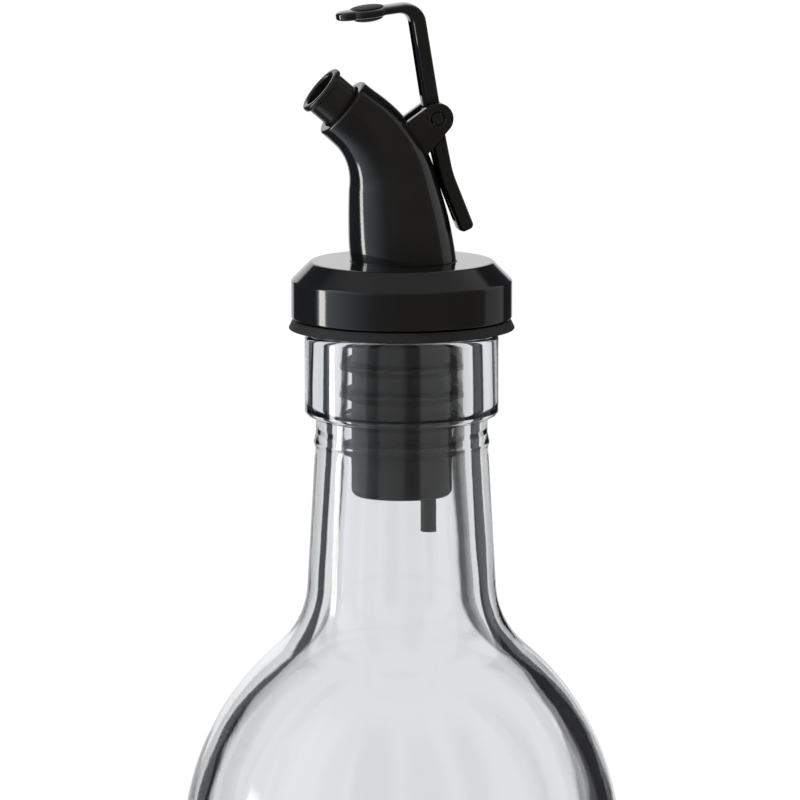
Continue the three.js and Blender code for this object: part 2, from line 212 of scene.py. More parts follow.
def rounded(corners, steps=6, closed=True):
    """An outline from corners (x, y, radius), with an arc of that radius at each corner that has one."""
    points = []
    count = len(corners)
    for i, (x, y, radius) in enumerate(corners):
        at_end = not closed and i in (0, count - 1)
        if radius <= 0 or at_end:
            points.append((x, y))
            continue
        corner = Vector((x, y))
        back = (Vector(corners[i - 1][:2]) - corner).normalized()
        ahead = (Vector(corners[(i + 1) % count][:2]) - corner).normalized()
        half = math.acos(max(-1, min(1, back.dot(ahead)))) / 2
        if half > math.radians(89.5):
            points.append((x, y))
            continue
        start = corner + back * (radius / math.tan(half))
        end = corner + ahead * (radius / math.tan(half))
        centre = corner + (back + ahead).normalized() * (radius / math.sin(half))
        first = math.atan2(start.y - centre.y, start.x - centre.x)
        turn = math.atan2(end.y - centre.y, end.x - centre.x) - first
        turn = (turn + math.pi) % (2 * math.pi) - math.pi
        points += arc(centre.x, centre.y, radius, first, first + turn, steps)
    return points


def add_object(name, vertices, faces):
    """A smooth mesh object from vertices in millimetres."""
    mesh = bpy.data.meshes.new(name)
    mesh.from_pydata([Vector(v) * MM for v in vertices], [], faces)
    mesh.validate()
    for polygon in mesh.polygons:
        polygon.use_smooth = True
    obj = bpy.data.objects.new(name, mesh)
    bpy.context.scene.collection.objects.link(obj)
    return obj


def upright(radius, height, angle):
    return (radius * math.cos(angle), radius * math.sin(angle), height)


def revolve(name, profile, sides, place=upright, closed=True):
    """Turns a profile of (radius, height) into a closed mesh.

    A profile that isn't closed starts and ends on the axis.
    """
    vertices = []
    rings = []
    for radius, height in profile:
        if radius < 1e-6:
            rings.append([len(vertices)] * sides)
            vertices.append(place(0, height, 0))
            continue
        rings.append([len(vertices) + i for i in range(sides)])
        vertices += [place(radius, height, 2 * math.pi * i / sides) for i in range(sides)]
    pairs = list(zip(rings, rings[1:]))
    if closed:
        pairs.append((rings[-1], rings[0]))
    faces = []
    for low, high in pairs:
        for i in range(sides):
            j = (i + 1) % sides
            face = []
            for v in (low[i], low[j], high[j], high[i]):
                if v not in face:
                    face.append(v)
            if len(face) > 2:
                faces.append(face)
    return outward(add_object(name, vertices, faces))


def outward(obj):
    """Turns every face of a closed mesh outwards."""
    work = bmesh.new()
    work.from_mesh(obj.data)
    bmesh.ops.recalc_face_normals(work, faces=work.faces)
    if work.calc_volume(signed=True) < 0:
        bmesh.ops.reverse_faces(work, faces=work.faces)
    work.to_mesh(obj.data)
    work.free()
    return obj


def inset_outline(outline, distance):
    """The outline moved inwards, for an outline that runs anticlockwise or clockwise."""
    count = len(outline)
    area = sum(
        outline[i][0] * outline[(i + 1) % count][1] - outline[(i + 1) % count][0] * outline[i][1]
        for i in range(count)
    )
    side = 1 if area > 0 else -1
    moved = []
    for i, point in enumerate(outline):
        before = Vector(point) - Vector(outline[i - 1])
        after = Vector(outline[(i + 1) % count]) - Vector(point)
        direction = before.normalized() + after.normalized()
        normal = Vector((-direction.y, direction.x)).normalized() * side
        stretch = 1 / max(0.5, normal.dot(Vector((-before.y, before.x)).normalized() * side))
        moved.append(tuple(Vector(point) + normal * distance * stretch))
    return moved


def square_section(width, edge, steps=4):
    """Layers (inset, y) across a plate of that width: flat, with rounded edges."""
    half = width / 2
    layers = [(edge * 1.35, -half)]
    for k in range(steps + 1):
        a = math.pi / 2 * k / steps
        layers.append((edge * (1 - math.sin(a)), -half + edge * (1 - math.cos(a))))
    return layers + [(inset, -y) for inset, y in reversed(layers)]


def crown(share):
    """How far a crowned surface has fallen, from 0 in the middle to 1 at its edge."""
    return 1 - (1 - abs(share) ** CROWN_POWER) ** (1 / CROWN_POWER)


def crowned_section(width, edge, steps=9):
    """Layers (inset, y) across a plate of that width: slightly arched, and well rounded at its edges."""
    half = width / 2
    shares = [math.sin(math.pi / 2 * k / steps) for k in range(-steps, steps + 1)]
    return [(edge * crown(share), half * share) for share in shares]


def rounded_plate(name, outline, layers, middle=0.0):
    """A plate across Y with the given side outline (x, z) and layers (inset, y)."""
    vertices = []
    for inset, y in layers:
        ring = inset_outline(outline, inset) if inset > 1e-6 else outline
        vertices += [(x, y + middle, z) for x, z in ring]
    count = len(outline)
    faces = []
    for layer in range(len(layers) - 1):
        base = layer * count
        for i in range(count):
            j = (i + 1) % count
            faces.append((base + i, base + j, base + count + j, base + count + i))
    last = (len(layers) - 1) * count
    faces.append(tuple(range(count)))
    faces.append(tuple(last + i for i in range(count)))
    return outward(add_object(name, vertices, faces))


def across(x, z, middle=0.0):
    """A placing for revolve whose axis runs along Y through (x, z)."""
    return lambda radius, height, angle: (
        x + radius * math.cos(angle),
        middle + height,
        z + radius * math.sin(angle),
    )


def cylinder(name, radius, low, high, sides=MEDIUM, place=upright):
    return revolve(name, [(0, low), (radius, low), (radius, high), (0, high)], sides, place, closed=False)


def merge_near(mesh):
    """Merges the vertices that a boolean leaves almost in one place, which would spoil the next boolean."""
    work = bmesh.new()
    work.from_mesh(mesh)
    bmesh.ops.remove_doubles(work, verts=work.verts, dist=1e-7)
    bmesh.ops.dissolve_degenerate(work, edges=work.edges, dist=1e-7)
    work.to_mesh(mesh)
    work.free()


def boolean(obj, other, operation):
    """Joins or cuts obj by other, and deletes other."""
    step = obj.modifiers.new("boolean", "BOOLEAN")
    step.operation = operation
    step.solver = "EXACT"
    step.object = other
    evaluated = obj.evaluated_get(bpy.context.evaluated_depsgraph_get())
    mesh = bpy.data.meshes.new_from_object(evaluated)
    obj.modifiers.clear()
    old = obj.data
    obj.data = mesh
    mesh.name = obj.name
    bpy.data.meshes.remove(old)
    bpy.data.objects.remove(other)
    merge_near(mesh)
    return obj


def finish_edges(obj, angle=32):
    """Smooth shading with crisp creases, weighted so that flat faces stay flat."""
    merge_near(obj.data)
    for polygon in obj.data.polygons:
        polygon.use_smooth = True
    obj.data.set_sharp_from_angle(angle=math.radians(angle))
    weighted = obj.modifiers.new("weighted", "WEIGHTED_NORMAL")
    weighted.keep_sharp = True
    return obj


# ---- Node helpers ----


class Nodes:
    """A small wrapper that adds shader nodes and links them."""

    def __init__(self, tree):
        self.tree = tree
        tree.nodes.clear()

    def add(self, kind, inputs=None, **settings):
        node = self.tree.nodes.new(kind)
        for key, value in settings.items():
            setattr(node, key, value)
        for key, value in (inputs or {}).items():
            if isinstance(value, bpy.types.NodeSocket):
                self.tree.links.new(value, node.inputs[key])
            else:
                node.inputs[key].default_value = value
        return node

    def math(self, operation, a, b=0.0):
        return self.add("ShaderNodeMath", {0: a, 1: b}, operation=operation).outputs[0]

    def noise(self, scale, detail=3.0, roughness=0.5, where=None):
        inputs = {"Scale": scale, "Detail": detail, "Roughness": roughness}
        inputs["Vector"] = where or self.place()
        return self.add("ShaderNodeTexNoise", inputs).outputs["Fac"]

    def place(self):
        return self.add("ShaderNodeTexCoord").outputs["Object"]

    def spread(self, value, low, high, to_low, to_high):
        inputs = {0: value, 1: low, 2: high, 3: to_low, 4: to_high}
        return self.add("ShaderNodeMapRange", inputs).outputs[0]

    def blend(self, share, first, second):
        node = self.add("ShaderNodeMix", data_type="RGBA")
        for index, value in ((0, share), (6, first), (7, second)):
            if isinstance(value, bpy.types.NodeSocket):
                self.tree.links.new(value, node.inputs[index])
            else:
                node.inputs[index].default_value = value
        return node.outputs[2]

    def dim(self, colour, share):
        return self.add("ShaderNodeVectorMath", {0: colour, 3: share}, operation="SCALE").outputs[0]

    def bump(self, height, strength, distance):
        inputs = {"Height": height, "Strength": strength, "Distance": distance}
        return self.add("ShaderNodeBump", inputs).outputs["Normal"]

    def output(self, surface, volume=None):
        node = self.add("ShaderNodeOutputMaterial", {"Surface": surface})
        if volume is not None:
            self.tree.links.new(volume, node.inputs["Volume"])


def new_material(name):
    material = bpy.data.materials.new(name)
    material.use_nodes = True
    return material, Nodes(material.node_tree)


# ---- Materials ----


def glass_material():
    """Clear moulded glass: faint ripples from the mould, a cool tint where it is thick."""
    material, n = new_material("clear_glass")
    slow = n.noise(55.0, 2.0, 0.4)
    fine = n.noise(900.0, 2.0, 0.5)
    ripple = n.math("ADD", slow, n.math("MULTIPLY", fine, 0.03))
    tint = n.blend(n.noise(30.0, 1.0), (0.982, 0.984, 0.988, 1), (0.990, 0.991, 0.993, 1))
    glass = n.add(
        "ShaderNodeBsdfPrincipled",
        {
            "Base Color": tint,
            "Roughness": 0.0,
            "IOR": 1.51,
            "Transmission Weight": 1.0,
            "Normal": n.bump(ripple, 0.17, 0.0006),
        },
    )
    clear = n.add("ShaderNodeBsdfTransparent", {"Color": (0.86, 0.88, 0.88, 1)})
    shadow = n.add("ShaderNodeLightPath").outputs["Is Shadow Ray"]
    surface = n.add("ShaderNodeMixShader", {0: shadow, 1: glass.outputs[0], 2: clear.outputs[0]})
    thick = n.add("ShaderNodeVolumeAbsorption", {"Color": (0.80, 0.89, 0.93, 1), "Density": 13.0})
    n.output(surface.outputs[0], thick.outputs[0])
    return material


def gloss_black_material(name, dark, light, shine, wear=0.5):
    """Moulded black plastic: polished, with faint flow clouds and fine haze that change the gloss."""
    material, n = new_material(name)
    clouds = n.noise(140.0, 4.0, 0.55)
    haze = n.noise(1600.0, 3.0, 0.6)
    specks = n.noise(5200.0, 1.0, 0.5)
    colour = n.blend(n.spread(clouds, 0.35, 0.65, 0.0, 1.0), (*dark, 1), (*light, 1))
    mixed = n.math("ADD", n.math("MULTIPLY", clouds, 0.6), n.math("MULTIPLY", haze, 0.4))
    roughness = n.spread(mixed, 0.3, 0.7, shine * 0.75, shine * 1.35)
    relief = n.math("ADD", n.math("MULTIPLY", haze, wear), n.math("MULTIPLY", specks, wear * 0.3))
    plastic = n.add(
        "ShaderNodeBsdfPrincipled",
        {
            "Base Color": colour,
            "Roughness": roughness,
            "IOR": 1.5,
            "Normal": n.bump(relief, 0.05, 0.0001),
        },
    )
    n.output(plastic.outputs[0])
    return material


def rubber_material(name, dark, light, grain=1.0):
    """Soft matte rubber: fine grain, a dusty bloom that lightens it in patches."""
    material, n = new_material(name)
    bloom = n.noise(260.0, 5.0, 0.6)
    tooth = n.noise(3800.0, 4.0, 0.65)
    colour = n.blend(n.spread(bloom, 0.3, 0.7, 0.0, 1.0), (*dark, 1), (*light, 1))
    roughness = n.spread(bloom, 0.3, 0.7, 0.5, 0.68)
    rubber = n.add(
        "ShaderNodeBsdfPrincipled",
        {
            "Base Color": colour,
            "Roughness": roughness,
            "IOR": 1.5,
            "Specular IOR Level": 0.35,
            "Normal": n.bump(tooth, 0.1 * grain, 0.0001),
        },
    )
    n.output(rubber.outputs[0])
    return material


def floor_material():
    """A pale floor that turns white away from the object."""
    material, n = new_material("studio_floor")
    where = n.add("ShaderNodeVectorMath", {0: n.place()}, operation="LENGTH").outputs["Value"]
    fade = n.add(
        "ShaderNodeMapRange",
        {0: where, 1: 0.22, 2: 0.72, 3: 0.0, 4: 1.0},
        interpolation_type="SMOOTHSTEP",
    ).outputs[0]
    pale = n.blend(n.noise(9.0, 3.0), (0.80, 0.80, 0.795, 1), (0.83, 0.83, 0.825, 1))
    paint = n.add("ShaderNodeBsdfDiffuse", {"Color": pale})
    white = n.add("ShaderNodeEmission", {"Color": (1, 1, 1, 1), "Strength": 1.02})
    n.output(n.add("ShaderNodeMixShader", {0: fade, 1: paint.outputs[0], 2: white.outputs[0]}).outputs[0])
    return material


# ---- Bottle ----


def wall_outline(body, shoulder, neck, fillet, steps):
    """Wall from the straight body to the top of the neck: shoulder arc, fillet, neck cone."""
    centre = Vector((body - shoulder, BOTTLE_HEIGHT - SHOULDER_DROP))
    along = Vector((NECK_TAPER, -1))
    side = Vector((1, NECK_TAPER)).normalized()
    drop = 18.0
    cone_top = Vector((neck, BOTTLE_HEIGHT - drop))
    start = cone_top + side * fillet - centre
    a = along.length_squared
    b = start.dot(along)
    c = start.length_squared - (shoulder + fillet) ** 2
    down = (-b - math.sqrt(b * b - a * c)) / a
    fillet_centre = start + along * down + centre
    join = math.atan2(fillet_centre.y - centre.y, fillet_centre.x - centre.x)
    cone = math.atan2(side.y, side.x)
    points = arc(centre.x, centre.y, shoulder, 0, join, steps)
    points += arc(fillet_centre.x, fillet_centre.y, fillet, join - math.pi, cone - math.pi, steps // 2)[1:]
    low = Vector(points[-1])
    neck_steps = 16
    top = cone_top + along * (NECK_TOP_DROP - drop)
    return points + [tuple(low.lerp(top, i / neck_steps)) for i in range(1, neck_steps + 1)]


def bottle_profile():
    """Outer wall from the middle of the base to the lip, and the inner wall back down.

    The count of outer points comes with it, because the inner wall is the wavier one.
    """
    lip = BOTTLE_HEIGHT
    heel = BODY_RADIUS - HEEL_RADIUS
    inner = BODY_RADIUS - BODY_WALL
    inner_heel = HEEL_RADIUS - BODY_WALL / 2
    floor = PUNT_HEIGHT + BASE_THICKNESS
    bore = NECK_TOP_RADIUS - NECK_WALL
    ring_bottom = lip - FINISH_HEIGHT
    base = rounded(
        [
            (0, PUNT_HEIGHT, 0),
            (BASE_RING_RADIUS * 0.6, PUNT_HEIGHT * 0.8, 30),
            (BASE_RING_RADIUS - BASE_RING_WIDTH, 0, 1.2),
            (heel, 0, 0),
        ],
        8,
        closed=False,
    )
    ring_steps = [(heel * (1 - t) + base[-2][0] * t, 0) for t in (0.75, 0.5, 0.25)]
    wall_bottom = BOTTLE_HEIGHT - SHOULDER_DROP
    straight = [(BODY_RADIUS, HEEL_RADIUS + (wall_bottom - HEEL_RADIUS) * i / 40) for i in range(1, 40)]
    finish = rounded(
        [
            (NECK_TOP_RADIUS, lip - NECK_TOP_DROP, 0),
            (NECK_TOP_RADIUS + BEAD_HEIGHT, lip - 18.1, 0.5),
            (NECK_TOP_RADIUS - 0.05, lip - 16.6, 0.6),
            (NECK_TOP_RADIUS - 0.05, ring_bottom - 0.2, 0.5),
            (FINISH_RADIUS, ring_bottom - 0.1, 0.95),
            (FINISH_RADIUS, lip, 1.0),
            (bore, lip, 1.0),
            (bore, lip - NECK_TOP_DROP, 0),
        ],
        10,
        closed=False,
    )
    outer = (
        base[:-1]
        + ring_steps
        + arc(heel, HEEL_RADIUS, HEEL_RADIUS, -math.pi / 2, 0, 14)
        + straight
        + wall_outline(BODY_RADIUS, SHOULDER_RADIUS, NECK_TOP_RADIUS, NECK_FILLET_RADIUS, 44)[:-1]
        + finish[:-1]
    )
    inner_wall = wall_outline(inner, SHOULDER_RADIUS - BODY_WALL, bore, NECK_FILLET_RADIUS + BODY_WALL, 44)
    inner_rise = wall_bottom - floor - inner_heel
    inner_straight = [(inner, floor + inner_heel + inner_rise * i / 40) for i in range(1, 40)]
    inside = (
        list(reversed(inner_wall))
        + list(reversed(inner_straight))
        + arc(inner - inner_heel, floor + inner_heel, inner_heel, 0, -math.pi / 2, 12)
        + [(inner * 0.5, floor + PUNT_HEIGHT * 0.35), (0, floor + PUNT_HEIGHT / 2)]
    )
    return outer + inside, len(outer)


def ripple(x, y, z, scale):
    return noise.noise(Vector((x, y, z)) / scale)


def bottle_piece():
    profile, outer_count = bottle_profile()
    sides = 256
    obj = revolve("oil_bottle_glass", profile, sides, closed=False)
    lip = BOTTLE_HEIGHT
    inner_start = 1 + (outer_count - 1) * sides
    for v in obj.data.vertices:
        x, y, z = v.co / MM
        radius = math.hypot(x, y)
        if radius < 1e-6:
            continue
        inside = v.index >= inner_start
        steady = min(1.0, max(0.0, (lip - 22 - z) / 20))
        if inside and z > 20:
            wave = 0.22 * ripple(x, y, z * 0.45, 17.0) + 0.05 * ripple(x + 40, y, z, 6.0)
            grown = radius + wave * steady
        elif not inside and z > 12:
            wave = 0.035 * (ripple(x, y, z * 0.5, 15.0) - 1.0)
            grown = radius + wave * steady
        else:
            grown = radius
        knurled = z < 0.01 and not inside
        knurl_share = math.exp(-(((radius - BASE_RING_RADIUS) / 1.6) ** 2)) if knurled else 0.0
        angle = math.atan2(y, x)
        lift = KNURL_DEPTH * knurl_share * (0.5 - 0.5 * math.cos(KNURLS * angle)) ** 2
        v.co = Vector((x * grown / radius, y * grown / radius, z + lift)) * MM
    return obj


# ---- Stopper ----


def stopper_piece():
    tip = NECK_TOP_RADIUS - NECK_WALL + FIN_PRESS
    lip = BOTTLE_HEIGHT
    corners = [
        (PLUG_BORE, PLUG_BOTTOM + 0.2, 0.0),
        (PLUG_BORE + 0.2, PLUG_BOTTOM, 0.0),
        (PLUG_RADIUS, PLUG_BOTTOM, 1.3),
    ]
    for i in reversed(range(FIN_COUNT)):
        level = lip - FIRST_FIN_DROP - i * FIN_PITCH
        corners += [
            (PLUG_RADIUS, level - FIN_ROOT / 2, 0.25),
            (tip, level + FIN_ROOT * 0.25, 0.06),
            (tip, level + FIN_ROOT * 0.25 + FIN_TIP, 0.06),
            (PLUG_RADIUS, level + FIN_ROOT * 0.75, 0.25),
        ]
    corners += [
        (PLUG_RADIUS, FLANGE_UNDER, 0.4),
        (FINISH_RADIUS + 0.3, FLANGE_UNDER, 0.3),
        (FLANGE_RADIUS, FLANGE_UNDER + 0.45, 0.12),
        (FLANGE_RADIUS - FLANGE_FLARE, FLANGE_TOP, 0.3),
        (SPIGOT_RADIUS, FLANGE_TOP, 0.3),
        (SPIGOT_RADIUS, stopper_high.z, 0.4),
        (PLUG_BORE, stopper_high.z, 0.3),
    ]
    obj = revolve("finned_stopper", rounded(corners, 5), FINE)
    floor = cylinder("floor", PLUG_BORE + 1.0, PLUG_BOTTOM + 0.05, PLUG_BOTTOM + PLUG_FLOOR)
    oil = cylinder("oil", OIL_HOLE_RADIUS, -4, 4, MEDIUM, moved(OIL_HOLE_OFFSET, 0, PLUG_BOTTOM))
    vent = cylinder("vent", VENT_RADIUS + 0.1, -4, 4, MEDIUM, moved(VENT_OFFSET, 0, PLUG_BOTTOM))
    boolean(boolean(floor, oil, "DIFFERENCE"), vent, "DIFFERENCE")
    boolean(obj, floor, "UNION")
    relief = cylinder("relief", VENT_RADIUS + 0.1, -4, 60, MEDIUM, moved(VENT_OFFSET, 0, PLUG_BOTTOM))
    return finish_edges(boolean(obj, relief, "DIFFERENCE"), 40)


def moved(x, y, z):
    """A placing for revolve whose axis is upright through (x, y), with heights from z."""
    return lambda radius, height, angle: (
        x + radius * math.cos(angle),
        y + radius * math.sin(angle),
        z + height,
    )


# ---- Cap ----


def cap_piece():
    hub = HORN_FOOT_RADIUS + 0.1 + CAP_HUB_WALL
    inside = CAP_TOP - CAP_WALL
    hub_bottom = CAP_BOTTOM + FOOT_FLANGE_THICKNESS + 0.2
    inner_bevel = CAP_BEVEL - CAP_WALL * math.tan(math.pi / 8)
    corners = [
        (0, hub_bottom, 0),
        (hub, hub_bottom, 0.3),
        (hub, inside, 0.5),
        (CAP_RADIUS - CAP_WALL - inner_bevel, inside, 0.5),
        (CAP_RADIUS - CAP_WALL, inside - inner_bevel, 0.5),
        (CAP_RADIUS - CAP_WALL, CAP_BOTTOM, 0.2),
        (CAP_RADIUS, CAP_BOTTOM, 0.3),
        (CAP_RADIUS, CAP_TOP - CAP_BEVEL, 0.7),
        (CAP_RADIUS - CAP_BEVEL, CAP_TOP, 0.6),
        (0, CAP_TOP, 0),
    ]
    obj = revolve("bevelled_cap", rounded(corners, 6, closed=False), FINE, closed=False)
    edge = 0.14
    hole = HORN_FOOT_RADIUS + 0.1
    cutter = revolve(
        "hole",
        [
            (0, -20),
            (hole, -20),
            (hole, -edge),
            (hole + edge, 0.0),
            (hole + edge, 4),
            (0, 4),
        ],
        FINE,
        moved(HORN_FOOT_OFFSET, 0, CAP_TOP),
        closed=False,
    )
    return finish_edges(boolean(obj, cutter, "DIFFERENCE"), 35)


# ---- Spout ----


def horn_station(length):
    """Centre (x, z), tilt from vertical and outer radius of the horn, at a length from the top of the cap."""

    def side(angle):
        return Vector((math.cos(angle), math.sin(angle)))

    def onward(angle):
        return Vector((-math.sin(angle), math.cos(angle)))

    ease = 6
    start = Vector((HORN_FOOT_OFFSET, CAP_TOP))
    share = max(0.0, min(1.0, length / HORN_LENGTH))
    eased = share * share * (3 - 2 * share)
    radius = HORN_FOOT_RADIUS + (HORN_HEAD_RADIUS - HORN_FOOT_RADIUS) * eased
    if length < 0:
        return start + Vector((0, length)), 0.0, radius
    bend_start = start + onward(HORN_LEAN) * HORN_RISE
    bend_centre = bend_start - side(HORN_LEAN) * HORN_BEND_RADIUS
    if length <= HORN_RISE:
        return start + onward(HORN_LEAN) * length, HORN_LEAN * min(1.0, length / ease), radius
    if length <= HORN_RISE + HORN_ARC:
        tilt = HORN_LEAN + (length - HORN_RISE) / HORN_BEND_RADIUS
        return bend_centre + side(tilt) * HORN_BEND_RADIUS, tilt, radius
    end = bend_centre + side(POUR_TILT) * HORN_BEND_RADIUS
    return end + onward(POUR_TILT) * (length - HORN_RISE - HORN_ARC), POUR_TILT, radius


def along_horn(radius, length, angle):
    """A placing for revolve that bends the turned form along the horn."""
    centre, tilt, _ = horn_station(length)
    over = radius * math.cos(angle)
    return (centre.x + over * math.cos(tilt), radius * math.sin(angle), centre.y + over * math.sin(tilt))


def beside_horn(length, offset):
    x, _, z = along_horn(offset, length, 0)
    return Vector((x, z))


def on_line(start, direction, offset):
    """The length along the horn where the curve at that inset crosses a line in the XZ plane."""

    def distance(length):
        point = beside_horn(length, horn_station(length)[2] - offset) - start
        return direction.x * point.y - direction.y * point.x

    low, high = 4.0, HORN_LENGTH - 1.0
    for _ in range(50):
        middle = (low + high) / 2
        if (distance(low) > 0) == (distance(middle) > 0):
            low = middle
        else:
            high = middle
    return low


def ear_outline(margin=0.0, root=1.6):
    """Side outline of an ear. Its root follows the horn, inside the wall."""
    pivot = Vector((PIVOT_X, PIVOT_Z))
    radius = EAR_END_RADIUS + margin
    upper_normal = EAR_UPPER_ANGLE + math.pi / 2
    lower_normal = EAR_LOWER_ANGLE - math.pi / 2
    end = arc(pivot.x, pivot.y, radius, upper_normal, lower_normal, 40)
    upper = Vector((math.cos(EAR_UPPER_ANGLE), math.sin(EAR_UPPER_ANGLE)))
    lower = Vector((math.cos(EAR_LOWER_ANGLE), math.sin(EAR_LOWER_ANGLE)))
    top = on_line(Vector(end[0]), upper, root)
    bottom = on_line(Vector(end[-1]), lower, root)
    steps = 24
    lengths = [bottom + (top - bottom) * i / steps for i in range(steps + 1)]
    return end + [tuple(beside_horn(s, horn_station(s)[2] - root)) for s in lengths]


def spout_piece():
    foot = CAP_BOTTOM - CAP_TOP
    lengths = [HORN_LENGTH * i / 110 for i in range(111)]
    outer = [(horn_station(s)[2], s) for s in lengths if 0.4 < s < HORN_LENGTH - 0.5]
    inner = [(horn_station(s)[2] - HORN_WALL, s) for s in lengths if 0.4 < s < HORN_LENGTH - 0.4]
    bore = SPIGOT_RADIUS + 0.1
    below = rounded(
        [
            (bore, foot, 0.2),
            (FOOT_FLANGE_RADIUS, foot, 0.3),
            (FOOT_FLANGE_RADIUS, foot + FOOT_FLANGE_THICKNESS, 0.3),
            (HORN_FOOT_RADIUS, foot + FOOT_FLANGE_THICKNESS, 0.3),
            (HORN_FOOT_RADIUS, 0.2, 0),
        ],
        5,
        closed=False,
    )
    rim = rounded(
        [
            (HORN_HEAD_RADIUS, HORN_LENGTH - 0.5, 0),
            (HORN_HEAD_RADIUS, HORN_LENGTH, 0.42),
            (HORN_HEAD_RADIUS - HORN_WALL, HORN_LENGTH, 0.2),
            (HORN_HEAD_RADIUS - HORN_WALL, HORN_LENGTH - 0.4, 0),
        ],
        7,
        closed=False,
    )
    profile = below + outer + rim + list(reversed(inner)) + [(bore + 0.3, 0.2), (bore, -0.3)]
    obj = revolve("spout_horn", profile, 128, along_horn)
    outline = ear_outline()
    for side in (-1, 1):
        middle = side * (EAR_GAP + EAR_THICKNESS) / 2
        ear = rounded_plate("ear", outline, square_section(EAR_THICKNESS, EAR_EDGE), middle)
        hole = revolve(
            "hole",
            [
                (0, -3),
                (PIN_HOLE + 0.9, -3),
                (PIN_HOLE + 0.22, -EAR_THICKNESS / 2),
                (PIN_HOLE, -EAR_THICKNESS / 2 + 0.22),
                (PIN_HOLE, EAR_THICKNESS / 2 - 0.22),
                (PIN_HOLE + 0.22, EAR_THICKNESS / 2),
                (PIN_HOLE + 0.9, 3),
                (0, 3),
            ],
            MEDIUM,
            across(PIVOT_X, PIVOT_Z, middle),
            closed=False,
        )
        boolean(obj, boolean(ear, hole, "DIFFERENCE"), "UNION")
    return finish_edges(obj, 30)


# ---- Nozzle ----


def nozzle_piece():
    end = HORN_LENGTH + NOZZLE_PROUD
    back = HORN_LENGTH - NOZZLE_INSET
    profile = rounded(
        [
            (NOZZLE_BORE, back, 0.15),
            (NOZZLE_RADIUS, back, 0.2),
            (NOZZLE_RADIUS, end - NOZZLE_LIP_LENGTH, 0.15),
            (NOZZLE_LIP_RADIUS, end - NOZZLE_LIP_LENGTH + 0.1, 0.25),
            (NOZZLE_LIP_RADIUS, end, 0.42),
            (NOZZLE_BORE, end, 0.4),
        ],
        6,
    )
    return revolve("pour_nozzle_tube", profile, FINE, along_horn)


# ---- Vent tube ----


def vent_route():
    """Middle line of the tube (x, z): straight through the stopper, then up the back of the horn."""
    end = HORN_LENGTH + NOZZLE_PROUD - VENT_END_INSET
    straight = [Vector((VENT_OFFSET, VENT_BOTTOM + (CAP_TOP - 1 - VENT_BOTTOM) * i / 30)) for i in range(31)]
    inside = []
    for i in range(60):
        length = 2.0 + (end - 2.0) * i / 59
        share = max(0.0, min(1.0, length / (HORN_LENGTH - NOZZLE_INSET)))
        eased = share * share * (3 - 2 * share)
        offset = VENT_OFFSET - HORN_FOOT_OFFSET
        inside.append(beside_horn(length, offset + (VENT_NOZZLE_OFFSET - offset) * eased))
    return straight + inside


def vent_piece():
    route = vent_route()
    sides = 48
    vertices = []
    for wall in (VENT_RADIUS, VENT_BORE):
        for i, point in enumerate(route):
            after = route[min(i + 1, len(route) - 1)]
            before = route[max(i - 1, 0)]
            onward = (after - before).normalized()
            across_x = Vector((onward.y, -onward.x))
            for k in range(sides):
                angle = 2 * math.pi * k / sides
                side = across_x * wall * math.cos(angle)
                vertices.append((point.x + side.x, wall * math.sin(angle), point.y + side.y))
    count = len(route)
    faces = []
    for wall in range(2):
        base = wall * count * sides
        for i in range(count - 1):
            for k in range(sides):
                j = (k + 1) % sides
                a = base + i * sides
                faces.append((a + k, a + j, a + sides + j, a + sides + k))
    for row in (0, count - 1):
        for k in range(sides):
            j = (k + 1) % sides
            a = row * sides
            b = (count + row) * sides
            faces.append((a + k, a + j, b + j, b + k))
    return finish_edges(outward(add_object("vent_air_tube", vertices, faces)), 40)


# ---- Lever, seal and pin ----


def on_arm(place):
    """A placing for revolve, square to the arm at a place from the pivot, with +height towards its back."""

    def placed(radius, height, angle):
        over = radius * math.cos(angle)
        x = over * math.cos(ARM_TILT) - height * math.sin(ARM_TILT)
        z = over * math.sin(ARM_TILT) + height * math.cos(ARM_TILT)
        return (PIVOT_X + place[0] + x, radius * math.sin(angle), PIVOT_Z + place[1] + z)

    return placed


def arm_disc(name, place, radius):
    """A round part of the arm with the same crowned section as the bar."""
    half = ARM_THICKNESS / 2
    layers = [(offset, half - LEVER_EDGE * crown(offset / radius)) for offset in spread_to(radius, 14)]
    profile = [(0, half)] + layers + [(offset, -height) for offset, height in reversed(layers)] + [(0, -half)]
    return revolve(name, profile, MEDIUM, on_arm(place), closed=False)


def spread_to(end, count):
    """Steps up to the end, closer together towards it."""
    return [end * math.sin(math.pi / 2 * (i + 1) / count) for i in range(count)]


def groove(points, start, end):
    """The cutter for the channel along an inner edge of the lever, given as corners from the pivot.

    It starts and ends at those distances from the first and the last corner.
    """
    path = [Vector((x + PIVOT_X, z + PIVOT_Z)) for x, z in points]
    path[0] += (path[1] - path[0]).normalized() * start
    path[-1] += (path[-2] - path[-1]).normalized() * end
    sides = []
    for i, point in enumerate(path):
        onward = (path[min(i + 1, len(path) - 1)] - path[max(i - 1, 0)]).normalized()
        sides.append(Vector((-onward.y, onward.x)))
    deep = [(p.x + n.x * CHANNEL_DEPTH, p.y + n.y * CHANNEL_DEPTH, 0.4) for p, n in zip(path, sides)]
    open_side = [(p.x - n.x * 2, p.y - n.y * 2, 0) for p, n in zip(path, sides)]
    outline = rounded(deep + list(reversed(open_side)), 5)
    return rounded_plate("groove", outline, square_section(CHANNEL_WIDTH, 0.12, 2))


